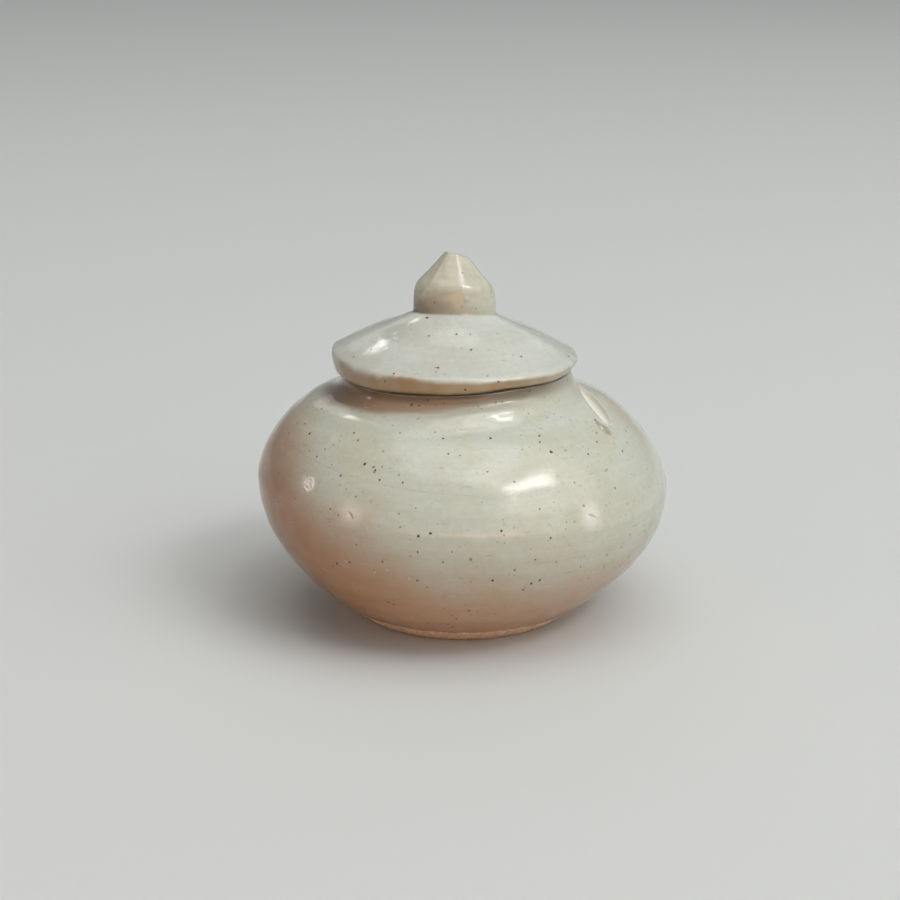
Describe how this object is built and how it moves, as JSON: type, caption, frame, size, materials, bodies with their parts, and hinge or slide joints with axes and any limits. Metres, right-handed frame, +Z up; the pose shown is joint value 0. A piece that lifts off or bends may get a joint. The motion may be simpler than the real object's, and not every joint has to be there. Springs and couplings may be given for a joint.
{
  "type": "ink pot",
  "caption": "Squat hand-thrown porcelain pot for ink, with a short flared neck and a loose shallow lid that has a bud-shaped knob.",
  "frame": {"origin": "centre of the foot's underside, in the plane that the pot stands on", "axes": "+Z up through the knob; -Y is the front that the picture shows; +X is to the right seen from the front"},
  "size_m": [0.062, 0.062, 0.0548],
  "materials": {
    "body_glaze": "glossy pale grey-green glaze with dark iron specks",
    "lid_glaze": "glossy pale bluish-grey glaze, tan where it thins at the edge",
    "knob_glaze": "glossy grey-green glaze, warmer and darker round the knob's foot",
    "bare_clay": "matt unglazed fired clay"
  },
  "bodies": {
    "pot": {"pot_body": "body_glaze"},
    "lid": {"lid_plate": "lid_glaze", "lid_knob": "knob_glaze", "lid_locating_ring": "bare_clay"}
  },
  "joints": [
    {"name": "lid_lift", "type": "slide", "parent": "pot", "child": "lid", "axis": [0, 0, 1], "range_m": [0, 0.05]}
  ]
}
